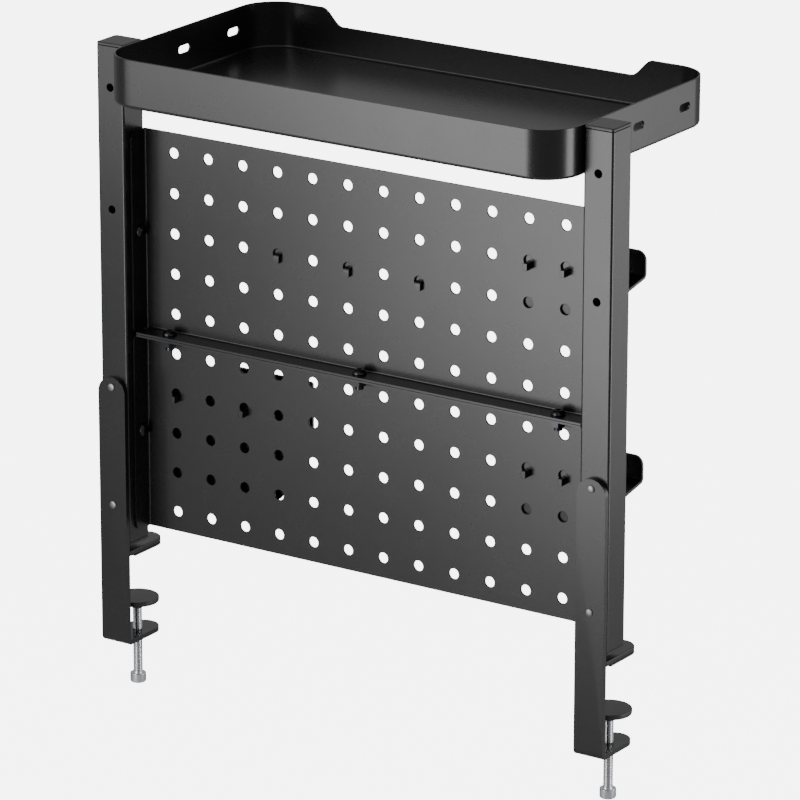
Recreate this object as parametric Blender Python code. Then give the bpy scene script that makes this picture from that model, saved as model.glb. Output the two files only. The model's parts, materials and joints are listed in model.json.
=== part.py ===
"""Desk-clamp pegboard: a steel frame of two posts, a tray and two perforated panels, with hang-on hooks.

Metres, +Z up. The origin is the seat on the desk: Z = 0 is the underside of the two foot pads, Y = 0 the
face of the clamp bars that meets the desk edge, X = 0 midway between the posts. +Y runs over the desk.
"""

import math

import bmesh
import bpy
from mathutils import Matrix, Vector

MM = 0.001
GAP = 0.3 * MM  # clearance kept between parts that touch

# Peg holes: a square grid, half of its rows in each panel
PITCH = 25.4 * MM
COLUMNS, ROWS = 12, 10
PEG_R = 3.35 * MM
ROW_1_Z = 258.25 * MM
SHEET = 1.2 * MM

# Posts: square tube with plastic end caps
TUBE = 20 * MM
TUBE_WALL = 1.5 * MM
TUBE_CORNER = 1.4 * MM
POST_X = 172.6 * MM
POST_Y = 0.3 * MM
POST_TOP, POST_BOTTOM = 326.0 * MM, 7.85 * MM
CAP_RIM = 2 * MM  # thickness of the rim flush with the tube
CAP_PLUG = 8 * MM  # outer face to the end of the plug
POST_HOLE_R = 2.5 * MM
POST_HOLES_Z = (298.45 * MM, 222.25 * MM)

# Clamps: a riveted flat bar bent into a lower jaw, a foot plate above it and a set screw between
BAR = 3.2 * MM
BAR_W = 20 * MM
BAR_TOP, BAR_BOTTOM = 116.25 * MM, -56.75 * MM
BEND_R = 4 * MM
JAW_END = 35.8 * MM
RIVET_R = 2 * MM
RIVETS_Z = (110.2 * MM, 34.2 * MM)
FOOT_TOP = 4.5 * MM
FOOT_END = 38.8 * MM
PAD = 1 * MM
PAD_START = 5.5 * MM
SCREW_Y = 20.2 * MM
SCREW_R = 2.9 * MM
HEAD_R, HEAD_H = 5 * MM, 6 * MM
HEAD_TOP = -82.95 * MM
DISC_R, DISC_T = 13.8 * MM, 3.2 * MM
DISC_TOP = -32.25 * MM
BOSS_R, BOSS_H = 4.3 * MM, 3.8 * MM

# Panels: two sheet pans stacked one on the other, flanges folded towards the clamp side
PANEL_W = 324.6 * MM
PANEL_BACK = 20.4 * MM
PANEL_TOP, PANEL_BOTTOM = 270.95 * MM, 16.95 * MM
FLANGE = 14.8 * MM
FLANGE_SCREW_Y = 13 * MM
SIDE_SCREW_Y = 14.2 * MM
SIDE_SCREW_ROWS = (3, 8)

# Dome-head screws: M5 joins the panels and holds them to the posts, M4 holds the tray
M5 = {"shank": 2.5 * MM, "head": 4.4 * MM, "dome": 3.4 * MM}
M4 = {"shank": 2 * MM, "head": 3.8 * MM, "dome": 2.2 * MM}
FLANGE_SCREW_L, SIDE_SCREW_L, TRAY_SCREW_L = 9.5 * MM, 9 * MM, 8 * MM
NUT_R, NUT_H = 4.6 * MM, 4 * MM

# Tray
TRAY_W = 324.6 * MM
TRAY_Y = (-25.9 * MM, 148.45 * MM)
TRAY_Z = (295.75 * MM, 325.8 * MM)
TRAY_R = 25 * MM
LIP_Z = 315.1 * MM
LIP_LOW, LIP_HIGH = 103.8 * MM, 118.8 * MM  # half widths where the far wall is low, and where it is full
SLOT_L, SLOT_H = 12 * MM, 5 * MM
SLOTS_Y = (61 * MM, 112.5 * MM)
SLOT_Z = 311.4 * MM
TRAY_SCREWS_Y = (5.3 * MM, 15.3 * MM)
TRAY_SCREW_Z = 303.2 * MM

# Hang-on parts: 2 mm steel, on tabs that drop in front of the sheet. Heights are from the peg hole's middle
STEEL = 2 * MM
STRIP_TAB = {"across": (-1.4 * MM, 2.4 * MM), "neck": (-1.5 * MM, 0.5 * MM), "tip": -5.6 * MM,
             "reach": 2.6 * MM, "drop": 2.0 * MM}
LUG = {"across": (-0.75 * MM, 2.35 * MM), "neck": (-1.9 * MM, -0.4 * MM), "tip": -4.8 * MM,
       "reach": 5.3 * MM, "drop": 4.8 * MM}
HOOK_COLUMNS = (4, 6, 8)
HOOK_ROW = 3
HOOK_W = 10 * MM
HOOK_TOP, HOOK_BEND, HOOK_ELBOW, HOOK_TIP = 6 * MM, -14 * MM, -10 * MM, 1 * MM
HOOK_REACH = 22 * MM
HOLDER_ROWS = (2, 7)
HOLDER_COLUMNS = (11, 12)
HOLDER_W = 44 * MM
HOLDER_TOP, HOLDER_BEND, HOLDER_ELBOW, HOLDER_LIP = 6 * MM, -37.6 * MM, -23.5 * MM, -6.9 * MM
HOLDER_END_Y = 94.9 * MM
HOLDER_CORNER = 6 * MM
TROUGH_ROW = 7
TROUGH_COLUMNS = (1, 3)
TROUGH_W, TROUGH_PLATE_W = 110.6 * MM, 103.6 * MM
TROUGH_STANDOFF = 4 * MM  # how much further the plate is from the sheet than a hook's
TROUGH_TOP, TROUGH_BOTTOM, TROUGH_FLOOR = 13.8 * MM, -58.2 * MM, -33.6 * MM
TROUGH_CORNER = 12 * MM
TROUGH_WALL, TROUGH_WALL_LOW = 13.8 * MM, 5 * MM
TROUGH_WALL_Y = 50.8 * MM
TROUGH_STEP_X = -7.7 * MM  # where the front wall steps down, from midway between the lugs

SHEET_FRONT = PANEL_BACK - SHEET
PLATE_Y = PANEL_BACK + GAP
SPLIT_Z = (PANEL_TOP + PANEL_BOTTOM) / 2
POST_FACE_X = POST_X - TUBE / 2
SIDES = (("left", -1), ("right", 1))


def column_x(column):
    return (column - (COLUMNS + 1) / 2) * PITCH


def row_z(row):
    return ROW_1_Z - (row - 1) * PITCH


# ---------------------------------------------------------------- scene and materials


def clear_scene():
    for obj in list(bpy.data.objects):
        bpy.data.objects.remove(obj, do_unlink=True)


def material(name, colour, roughness, metallic):
    made = bpy.data.materials.new(name)
    made.use_nodes = True
    shader = made.node_tree.nodes["Principled BSDF"]
    shader.inputs["Base Color"].default_value = (*colour, 1)
    shader.inputs["Roughness"].default_value = roughness
    shader.inputs["Metallic"].default_value = metallic
    made.diffuse_color = (*colour, 1)
    return made


# ---------------------------------------------------------------- shapes


def arc(centre, radius, start, end, steps):
    """Points on an arc in degrees, both ends included."""
    angles = (math.radians(start + (end - start) * i / steps) for i in range(steps + 1))
    return [(centre[0] + radius * math.cos(a), centre[1] + radius * math.sin(a)) for a in angles]


def rounded_rectangle(low, high, radius, steps):
    (x0, y0), (x1, y1) = low, high
    corners = (((x1 - radius, y0 + radius), -90), ((x1 - radius, y1 - radius), 0),
               ((x0 + radius, y1 - radius), 90), ((x0 + radius, y0 + radius), 180))
    return [p for centre, start in corners for p in arc(centre, radius, start, start + 90, steps)]


def tongue(half_width, start, end, steps=14):
    """A bar outline with a half-round far end, as (across, along) pairs."""
    return [(-half_width, start), (half_width, start)] + arc((0, end - half_width), half_width, 0, 180, steps)


def placed(axis, pair, depth):
    """The 3-D point of an outline pair whose prism runs along axis."""
    a, b = pair
    return {"X": (depth, a, b), "Y": (a, depth, b), "Z": (a, b, depth)}[axis]


def prism(bm, outline, axis, start, end):
    """A closed prism of an outline given in the two other axes, in X, Y, Z order."""
    near = [bm.verts.new(placed(axis, pair, start)) for pair in outline]
    far = [bm.verts.new(placed(axis, pair, end)) for pair in outline]
    bm.faces.new(near)
    bm.faces.new(far[::-1])
    for i in range(len(outline)):
        j = (i + 1) % len(outline)
        bm.faces.new((near[i], far[i], far[j], near[j]))


def tube_prism(bm, outer, inner, axis, start, end):
    """A prism with an opening from end to end; both outlines have the same number of points."""
    rings = [[bm.verts.new(placed(axis, pair, depth)) for pair in outline]
             for outline, depth in ((outer, start), (outer, end), (inner, end), (inner, start))]
    for ring, after in zip(rings, rings[1:] + rings[:1]):
        for i in range(len(outer)):
            j = (i + 1) % len(outer)
            bm.faces.new((ring[i], ring[j], after[j], after[i]))


def box(bm, low, high):
    outline = [(low[0], low[1]), (high[0], low[1]), (high[0], high[1]), (low[0], high[1])]
    prism(bm, outline, "Z", low[2], high[2])


def ring(a, b, radii):
    """Points round a centre, one for each radius in turn."""
    angles = [math.tau * i / len(radii) for i in range(len(radii))]
    return [(a + radius * math.cos(t), b + radius * math.sin(t)) for radius, t in zip(radii, angles)]


def rod(bm, radius, axis, centre, start, end, steps=12):
    """A round bar, or with six steps a hexagonal one, centred on a pair of coordinates."""
    prism(bm, ring(*centre, [radius] * steps), axis, start, end)


def turned(bm, profile, steps):
    """A solid of revolution about Z from (radius, z) pairs; the first and last lie on the axis."""
    rings = []
    for radius, z in profile:
        count = steps if radius > 0 else 1
        rings.append([bm.verts.new((radius * math.cos(math.tau * i / steps),
                                    radius * math.sin(math.tau * i / steps), z)) for i in range(count)])
    for low, high in zip(rings, rings[1:]):
        for i in range(steps):
            j = (i + 1) % steps
            corners = [low[i % len(low)], low[j % len(low)], high[j % len(high)], high[i % len(high)]]
            bm.faces.new(list(dict.fromkeys(corners)))


def finished(name, bm, finish, origin=(0, 0, 0), smooth_angle=None):
    """An object from a bmesh in world coordinates, with its origin moved to the given point."""
    bmesh.ops.recalc_face_normals(bm, faces=bm.faces)
    bmesh.ops.translate(bm, verts=bm.verts, vec=-Vector(origin))
    mesh = bpy.data.meshes.new(name)
    bm.to_mesh(mesh)
    bm.free()
    obj = bpy.data.objects.new(name, mesh)
    obj.location = origin
    bpy.context.scene.collection.objects.link(obj)
    if finish is not None:
        mesh.materials.append(finish)
    if smooth_angle is not None:
        mesh.shade_smooth()
        mesh.set_sharp_from_angle(angle=math.radians(smooth_angle))
    return obj


def helper(name, bm):
    """A hidden solid that a Boolean uses."""
    obj = finished(name, bm, None)
    obj.hide_render = True
    obj.display_type = "WIRE"
    return obj


def boolean(obj, other, operation):
    modifier = obj.modifiers.new(operation.title(), "BOOLEAN")
    modifier.operation = operation
    modifier.solver = "EXACT"
    modifier.object = other


# ---------------------------------------------------------------- frame


def make_post(side, sign, paint):
    """Square tube, open at both ends, with its cross-drilled holes."""
    x = sign * POST_X
    half = TUBE / 2
    outer = rounded_rectangle((x - half, POST_Y), (x + half, POST_Y + TUBE), TUBE_CORNER, 3)
    inner = rounded_rectangle((x - half + TUBE_WALL, POST_Y + TUBE_WALL),
                              (x + half - TUBE_WALL, POST_Y + TUBE - TUBE_WALL), TUBE_CORNER / 2, 3)
    bm = bmesh.new()
    tube_prism(bm, outer, inner, "Z", POST_BOTTOM + CAP_RIM + GAP, POST_TOP - CAP_RIM - GAP)
    post = finished(f"post_{side}", bm, paint, smooth_angle=40)

    drills = bmesh.new()
    through_front = (POST_Y - 1 * MM, POST_Y + TUBE_WALL + 1 * MM)
    for z in POST_HOLES_Z:
        rod(drills, POST_HOLE_R, "Y", (x, z), *through_front)
    for z in RIVETS_Z:
        rod(drills, RIVET_R + GAP, "Y", (x, z), *through_front)
    face = sign * (POST_FACE_X - 1 * MM)
    past = sign * (POST_FACE_X + TUBE_WALL + 1 * MM)
    for row in SIDE_SCREW_ROWS:
        rod(drills, M5["shank"] + GAP, "X", (SIDE_SCREW_Y, row_z(row)), face, past)
    for y in TRAY_SCREWS_Y:
        rod(drills, M4["shank"] + GAP, "X", (y, TRAY_SCREW_Z), face, past)
    boolean(post, helper(f"drill_post_{side}", drills), "DIFFERENCE")


def make_cap(name, x, tip, inward, plastic):
    """Plug-in end cap: tip is the height of its outer face, inward the sign of Z into the tube."""
    half = TUBE / 2
    rim_end = tip + inward * CAP_RIM
    bm = bmesh.new()
    square = rounded_rectangle((x - half, POST_Y), (x + half, POST_Y + TUBE), TUBE_CORNER, 3)
    prism(bm, square, "Z", tip, rim_end)
    cap = finished(name, bm, plastic, smooth_angle=40)
    inset = TUBE_WALL + GAP
    plug = bmesh.new()
    box(plug, (x - half + inset, POST_Y + inset, min(rim_end - inward * 1 * MM, tip + inward * CAP_PLUG)),
        (x + half - inset, POST_Y + TUBE - inset, max(rim_end - inward * 1 * MM, tip + inward * CAP_PLUG)))
    boolean(cap, helper(f"plug_{name}", plug), "UNION")


# ---------------------------------------------------------------- clamps


def make_clamp_bar(side, sign, paint):
    """Flat bar with a round top, bent through a right angle into the lower jaw."""
    x = sign * POST_X
    half = BAR_W / 2
    bend = (-BAR + BEND_R, BAR_BOTTOM + BEND_R)
    outer = arc(bend, BEND_R, 180, 270, 6)
    inner = arc(bend, BEND_R - BAR, 270, 180, 3)
    profile = [(-BAR, BAR_TOP)] + outer + [(JAW_END, BAR_BOTTOM), (JAW_END, BAR_BOTTOM + BAR)] + inner
    profile.append((0, BAR_TOP))
    bm = bmesh.new()
    prism(bm, profile, "X", x - half, x + half)
    bar = finished(f"clamp_bar_{side}", bm, paint, smooth_angle=30)

    upright = bmesh.new()
    outline = [(x + a, z) for a, z in tongue(half, BAR_BOTTOM - 5 * MM, BAR_TOP)]
    prism(upright, outline, "Y", -10 * MM, JAW_END + 10 * MM)
    boolean(bar, helper(f"round_top_{side}", upright), "INTERSECT")
    flat = bmesh.new()
    outline = [(x + a, y) for a, y in tongue(half, -10 * MM, JAW_END)]
    prism(flat, outline, "Z", BAR_BOTTOM - 5 * MM, BAR_TOP + 5 * MM)
    boolean(bar, helper(f"round_jaw_{side}", flat), "INTERSECT")

    drills = bmesh.new()
    for z in RIVETS_Z:
        rod(drills, RIVET_R + GAP, "Y", (x, z), -BAR - 1 * MM, 1 * MM)
    rod(drills, SCREW_R + GAP, "Z", (x, SCREW_Y), BAR_BOTTOM - 1 * MM, BAR_BOTTOM + BAR + 1 * MM, steps=16)
    boolean(bar, helper(f"drill_bar_{side}", drills), "DIFFERENCE")


def make_rivets(side, sign, metal):
    """Solid rivets through the bar and the post's near wall, with a low dome outside and a tail inside."""
    x = sign * POST_X
    seat, tail = -BAR - GAP, POST_Y + TUBE_WALL + GAP
    for place, z in zip(("upper", "lower"), RIVETS_Z):
        bm = bmesh.new()
        turned(bm, [(0, seat - 0.7 * MM), (1.4 * MM, seat - 0.55 * MM), (2.3 * MM, seat - 0.2 * MM),
                    (2.5 * MM, seat), (RIVET_R, seat), (RIVET_R, tail), (3.2 * MM, tail),
                    (2.8 * MM, tail + 1.4 * MM), (0, tail + 1.6 * MM)], 12)
        bmesh.ops.rotate(bm, verts=bm.verts, matrix=Matrix.Rotation(math.radians(-90), 3, "X"))
        bmesh.ops.translate(bm, verts=bm.verts, vec=(x, 0, z))
        finished(f"rivet_{side}_{place}", bm, metal, origin=(x, -BAR, z), smooth_angle=40)


def make_foot(side, sign, paint, rubber):
    """Foot plate welded to the bar, with a thin rubber pad that rests on the desk."""
    x = sign * POST_X
    for name, start, low, high, finish in (
        ("foot_plate", GAP, FOOT_TOP - BAR, FOOT_TOP, paint),
        ("foot_pad", PAD_START, 0, PAD, rubber),
    ):
        bm = bmesh.new()
        prism(bm, [(x + a, y) for a, y in tongue(BAR_W / 2, start, FOOT_END)], "Z", low, high)
        finished(f"{name}_{side}", bm, finish, smooth_angle=40)


def make_clamp_screw(side, sign, zinc):
    """Socket head cap screw, head down, its tip inside the pressure pad."""
    tip = DISC_TOP - DISC_T - GAP
    axis = (sign * POST_X, SCREW_Y)
    bottom = HEAD_TOP - HEAD_H
    edge = 0.4 * MM
    bm = bmesh.new()
    turned(bm, [(0, bottom), (HEAD_R - edge, bottom), (HEAD_R, bottom + edge), (HEAD_R, HEAD_TOP),
                (SCREW_R, HEAD_TOP), (SCREW_R, tip - 1 * MM), (SCREW_R - 0.8 * MM, tip), (0, tip)], 18)
    bmesh.ops.translate(bm, verts=bm.verts, vec=(*axis, 0))
    screw = finished(f"clamp_screw_{side}", bm, zinc, origin=(*axis, HEAD_TOP), smooth_angle=35)
    socket = bmesh.new()
    rod(socket, 2.9 * MM, "Z", axis, bottom - 1 * MM, bottom + 3 * MM, steps=6)
    boolean(screw, helper(f"socket_{side}", socket), "DIFFERENCE")


def make_pressure_pad(side, sign, plastic):
    """Round swivel pad with a coned underside, bored from below for the screw's tip."""
    axis = (sign * POST_X, SCREW_Y)
    boss = DISC_TOP - DISC_T - BOSS_H
    edge = 0.5 * MM
    bore = SCREW_R + GAP
    bm = bmesh.new()
    turned(bm, [(0, DISC_TOP - DISC_T), (bore, DISC_TOP - DISC_T), (bore, boss), (BOSS_R, boss),
                (DISC_R - 0.6 * MM, DISC_TOP - DISC_T), (DISC_R, DISC_TOP - DISC_T + edge),
                (DISC_R, DISC_TOP - edge), (DISC_R - edge, DISC_TOP), (0, DISC_TOP)], 24)
    bmesh.ops.translate(bm, verts=bm.verts, vec=(*axis, 0))
    finished(f"pressure_pad_{side}", bm, plastic, origin=(*axis, DISC_TOP), smooth_angle=35)


# ---------------------------------------------------------------- panels


def make_panel(name, low, high, fold_z, paint):
    """One perforated pan: a sheet with two side flanges, and a flange along the split at fold_z."""
    half = PANEL_W / 2
    near = PANEL_BACK - FLANGE
    front = SHEET_FRONT
    channel = [(-half, PANEL_BACK), (-half, near), (-half + SHEET, near), (-half + SHEET, front),
               (half - SHEET, front), (half - SHEET, near), (half, near), (half, PANEL_BACK)]
    bm = bmesh.new()
    prism(bm, channel, "Z", low, high)
    panel = finished(name, bm, paint)

    fold = bmesh.new()
    ends = half - SHEET - 1 * MM
    box(fold, (-ends, near, fold_z[0]), (ends, front + SHEET / 2, fold_z[1]))
    boolean(panel, helper(f"fold_{name}", fold), "UNION")

    cuts = bmesh.new()
    corner = 5 * MM
    beyond = 1 * MM
    for z, inward in ((low, 1), (high, -1)):
        outline = [(near - beyond, z - inward * beyond), (near + corner, z - inward * beyond),
                   (near + corner * 0.3, z + inward * corner * 0.3), (near - beyond, z + inward * corner)]
        for sign in (-1, 1):
            prism(cuts, outline, "X", sign * (half - SHEET - beyond / 2), sign * (half + beyond))
    for row in range(1, ROWS + 1):
        for column in range(1, COLUMNS + 1):
            if low < row_z(row) < high:
                rod(cuts, PEG_R, "Y", (column_x(column), row_z(row)), front - 1 * MM, PANEL_BACK + 1 * MM)
    for x in flange_screws_x():
        rod(cuts, M5["shank"] + GAP, "Z", (x, FLANGE_SCREW_Y), fold_z[0] - 1 * MM, fold_z[1] + 1 * MM)
    for row in SIDE_SCREW_ROWS:
        if low < row_z(row) < high:
            for sign in (-1, 1):
                rod(cuts, M5["shank"] + GAP, "X", (SIDE_SCREW_Y, row_z(row)),
                    sign * (half - SHEET - 1 * MM), sign * (half + 1 * MM))
    boolean(panel, helper(f"cuts_{name}", cuts), "DIFFERENCE")


def flange_screws_x():
    return column_x(1), 0.0, column_x(COLUMNS)


def dome_screw(bm, size, length):
    """A dome-head screw along Z: head above Z = 0, shank below."""
    shank, head, height = size["shank"], size["head"], size["dome"]
    dome = [(head * math.cos(math.radians(a)), height * math.sin(math.radians(a))) for a in (0, 35, 65)]
    turned(bm, [(0, -length), (shank, -length), (shank, 0)] + dome + [(0, height)], 12)


def make_flange_fasteners(metal):
    """Dome-head screws down through both split flanges, each with a hexagon nut."""
    stack = SHEET + GAP / 2
    for place, x in zip(("left", "middle", "right"), flange_screws_x()):
        head_seat = SPLIT_Z + stack + GAP
        bm = bmesh.new()
        dome_screw(bm, M5, FLANGE_SCREW_L)
        bmesh.ops.translate(bm, verts=bm.verts, vec=(x, FLANGE_SCREW_Y, head_seat))
        finished(f"flange_screw_{place}", bm, metal, origin=(x, FLANGE_SCREW_Y, head_seat), smooth_angle=40)
        nut_top = SPLIT_Z - stack - GAP
        flat = math.cos(math.pi / 6)
        outer = ring(x, FLANGE_SCREW_Y, [NUT_R if i % 2 == 0 else NUT_R * flat for i in range(12)])
        inner = ring(x, FLANGE_SCREW_Y, [M5["shank"] + GAP] * 12)
        bm = bmesh.new()
        tube_prism(bm, outer, inner, "Z", nut_top - NUT_H, nut_top)
        finished(f"flange_nut_{place}", bm, metal)


def make_side_screws(metal):
    """Dome-head screws through the side flanges into the posts."""
    seat = PANEL_W / 2 - SHEET - GAP
    for side, sign in SIDES:
        for place, row in zip(("upper", "lower"), SIDE_SCREW_ROWS):
            bm = bmesh.new()
            dome_screw(bm, M5, SIDE_SCREW_L)
            bmesh.ops.rotate(bm, verts=bm.verts, matrix=Matrix.Rotation(math.radians(-90 * sign), 3, "Y"))
            place_at = (sign * seat, SIDE_SCREW_Y, row_z(row))
            bmesh.ops.translate(bm, verts=bm.verts, vec=place_at)
            finished(f"side_screw_{side}_{place}", bm, metal, origin=place_at, smooth_angle=40)


# ---------------------------------------------------------------- tray


def make_tray(paint):
    """Open tray with round corners, a lowered far wall and two slots in each side wall."""
    half = TRAY_W / 2
    y0, y1 = TRAY_Y
    z0, z1 = TRAY_Z
    bm = bmesh.new()
    prism(bm, rounded_rectangle((-half, y0), (half, y1), TRAY_R, 8), "Z", z0, z1)
    tray = finished("tray", bm, paint, smooth_angle=30)

    cuts = bmesh.new()
    prism(cuts, rounded_rectangle((-half + SHEET, y0 + SHEET), (half - SHEET, y1 - SHEET), TRAY_R - SHEET, 8),
          "Z", z0 + SHEET, z1 + 5 * MM)
    boolean(tray, helper("inside_tray", cuts), "DIFFERENCE")

    cuts = bmesh.new()
    steps = 6
    slope = [(LIP_LOW + (LIP_HIGH - LIP_LOW) * i / steps,
              LIP_Z + (z1 - LIP_Z) * (1 - math.cos(math.pi * i / steps)) / 2) for i in range(steps + 1)]
    above = z1 + 3 * MM
    outline = slope + [(LIP_HIGH, above), (-LIP_HIGH, above)] + [(-x, z) for x, z in reversed(slope)]
    prism(cuts, outline, "Y", y1 - SHEET - 1 * MM, y1 + 1 * MM)
    for _, sign in SIDES:
        span = sign * (half - SHEET - 1 * MM), sign * (half + 1 * MM)
        for y in SLOTS_Y:
            low, high = (y - SLOT_L / 2, SLOT_Z - SLOT_H / 2), (y + SLOT_L / 2, SLOT_Z + SLOT_H / 2)
            prism(cuts, rounded_rectangle(low, high, SLOT_H / 2 - 0.1 * MM, 4), "X", *span)
        for y in TRAY_SCREWS_Y:
            rod(cuts, M4["shank"] + GAP, "X", (y, TRAY_SCREW_Z), *span)
    boolean(tray, helper("cuts_tray", cuts), "DIFFERENCE")


def make_tray_screws(metal):
    """Dome-head screws through the tray's side walls into the posts."""
    seat = TRAY_W / 2 - SHEET - GAP
    for side, sign in SIDES:
        for place, y in zip(("near", "far"), TRAY_SCREWS_Y):
            bm = bmesh.new()
            dome_screw(bm, M4, TRAY_SCREW_L)
            bmesh.ops.rotate(bm, verts=bm.verts, matrix=Matrix.Rotation(math.radians(-90 * sign), 3, "Y"))
            place_at = (sign * seat, y, TRAY_SCREW_Z)
            bmesh.ops.translate(bm, verts=bm.verts, vec=place_at)
            finished(f"tray_screw_{side}_{place}", bm, metal, origin=place_at, smooth_angle=40)


# ---------------------------------------------------------------- hang-on parts


def hang_axis(x, row):
    """Where a hung part turns: the lower edge of its peg holes, mid sheet."""
    return x, SHEET_FRONT + SHEET / 2, row_z(row) - PEG_R


def tab(bm, x, z, form, standoff=0):
    """A tab through the peg hole at x and z, with its drop in front of the sheet."""
    root = PLATE_Y + standoff + STEEL / 2
    low, top = (z + height for height in form["neck"])
    front, tip = SHEET_FRONT - form["reach"], z + form["tip"]
    edge = 0.4 * MM
    outline = [(root, low), (root, top), (front + edge, top), (front, top - edge),
               (front, tip), (front + form["drop"], tip), (front + form["drop"], low)]
    prism(bm, outline, "X", x + form["across"][0], x + form["across"][1])


def sheet_profile(path):
    """A strip of STEEL thickness whose outer side follows path, as one closed outline in Y and Z."""
    inner = []
    for i, point in enumerate(path):
        before = path[max(i - 1, 0)]
        after = path[min(i + 1, len(path) - 1)]
        into = Vector((point[0] - before[0], point[1] - before[1])) if i else None
        out = Vector((after[0] - point[0], after[1] - point[1])) if i < len(path) - 1 else None
        normals = [Vector((-d.y, d.x)).normalized() for d in (into, out) if d is not None]
        mitre = sum(normals, Vector((0, 0))).normalized()
        reach = STEEL / mitre.dot(normals[0])
        inner.append((point[0] + mitre.x * reach, point[1] + mitre.y * reach))
    return list(path) + inner[::-1]


def make_hook(index, column, paint):
    """Single hook: a strip bent into an upturned arm, on one tab."""
    x, z = column_x(column), row_z(HOOK_ROW)
    origin = hang_axis(x, HOOK_ROW)
    back, reach = PLATE_Y, PLATE_Y + HOOK_REACH
    path = [(back, z + HOOK_TOP), (back, z + HOOK_BEND), (reach, z + HOOK_ELBOW), (reach, z + HOOK_TIP)]
    bm = bmesh.new()
    prism(bm, sheet_profile(path), "X", x - HOOK_W / 2, x + HOOK_W / 2)
    hook = finished(f"hook_{index}", bm, paint, origin=origin)
    joint = bmesh.new()
    tab(joint, x, z, STRIP_TAB)
    boolean(hook, helper(f"tab_hook_{index}", joint), "UNION")


def make_holder(place, row, paint):
    """Wide tool holder: a back plate, an arm that rises outwards and an upright lip with round corners."""
    x = (column_x(HOLDER_COLUMNS[0]) + column_x(HOLDER_COLUMNS[1])) / 2
    z = row_z(row)
    low, high = x - HOLDER_W / 2, x + HOLDER_W / 2
    top, lip_top = z + HOLDER_TOP, z + HOLDER_LIP
    path = [(PLATE_Y, top), (PLATE_Y, z + HOLDER_BEND),
            (HOLDER_END_Y, z + HOLDER_ELBOW), (HOLDER_END_Y, lip_top)]
    bm = bmesh.new()
    prism(bm, sheet_profile(path), "X", low, high)
    holder = finished(f"tool_holder_{place}", bm, paint, origin=hang_axis(x, row))

    below = z + HOLDER_BEND - 20 * MM
    middle = (PLATE_Y + HOLDER_END_Y) / 2
    plate = bmesh.new()
    prism(plate, rounded_rectangle((low, below), (high, top), HOLDER_CORNER, 4),
          "Y", PLATE_Y - 5 * MM, middle)
    outline = helper(f"plate_outline_{place}", plate)
    lip = bmesh.new()
    prism(lip, rounded_rectangle((low, below), (high, lip_top), HOLDER_CORNER, 4),
          "Y", middle - 1 * MM, HOLDER_END_Y + 5 * MM)
    boolean(outline, helper(f"lip_outline_{place}", lip), "UNION")
    boolean(holder, outline, "INTERSECT")

    tabs = bmesh.new()
    for column in HOLDER_COLUMNS:
        tab(tabs, column_x(column), z, LUG)
    boolean(holder, helper(f"tabs_holder_{place}", tabs), "UNION")


def make_trough(paint):
    """Wide tool trough: a back plate standing off the sheet, a flat floor and a front wall with a step."""
    x = (column_x(TROUGH_COLUMNS[0]) + column_x(TROUGH_COLUMNS[1])) / 2
    z = row_z(TROUGH_ROW)
    low, high = x - TROUGH_W / 2, x + TROUGH_W / 2
    back = PLATE_Y + TROUGH_STANDOFF
    floor, wall_top, wall_low = z + TROUGH_FLOOR, z + TROUGH_WALL, z + TROUGH_WALL_LOW
    bm = bmesh.new()
    path = [(back + STEEL / 2, floor), (TROUGH_WALL_Y, floor), (TROUGH_WALL_Y, wall_top)]
    prism(bm, sheet_profile(path), "X", low, high)
    trough = finished("tool_trough", bm, paint, origin=hang_axis(x, TROUGH_ROW))
    step, above = x + TROUGH_STEP_X, wall_top + 2 * MM
    cut = bmesh.new()
    outline = [(low - 2 * MM, wall_low), (step - 4 * MM, wall_low),
               (step + 4 * MM, above), (low - 2 * MM, above)]
    prism(cut, outline, "Y", TROUGH_WALL_Y - 10 * MM, TROUGH_WALL_Y + 5 * MM)
    boolean(trough, helper("trough_step", cut), "DIFFERENCE")
    plate = bmesh.new()
    low, high = x - TROUGH_PLATE_W / 2, x + TROUGH_PLATE_W / 2
    prism(plate, rounded_rectangle((low, z + TROUGH_BOTTOM), (high, z + TROUGH_TOP), TROUGH_CORNER, 5),
          "Y", back, back + STEEL)
    boolean(trough, helper("trough_back_plate", plate), "UNION")
    tabs = bmesh.new()
    for column in TROUGH_COLUMNS:
        tab(tabs, column_x(column), z, LUG, TROUGH_STANDOFF)
    boolean(trough, helper("tabs_trough", tabs), "UNION")


# ---------------------------------------------------------------- assembly


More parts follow.
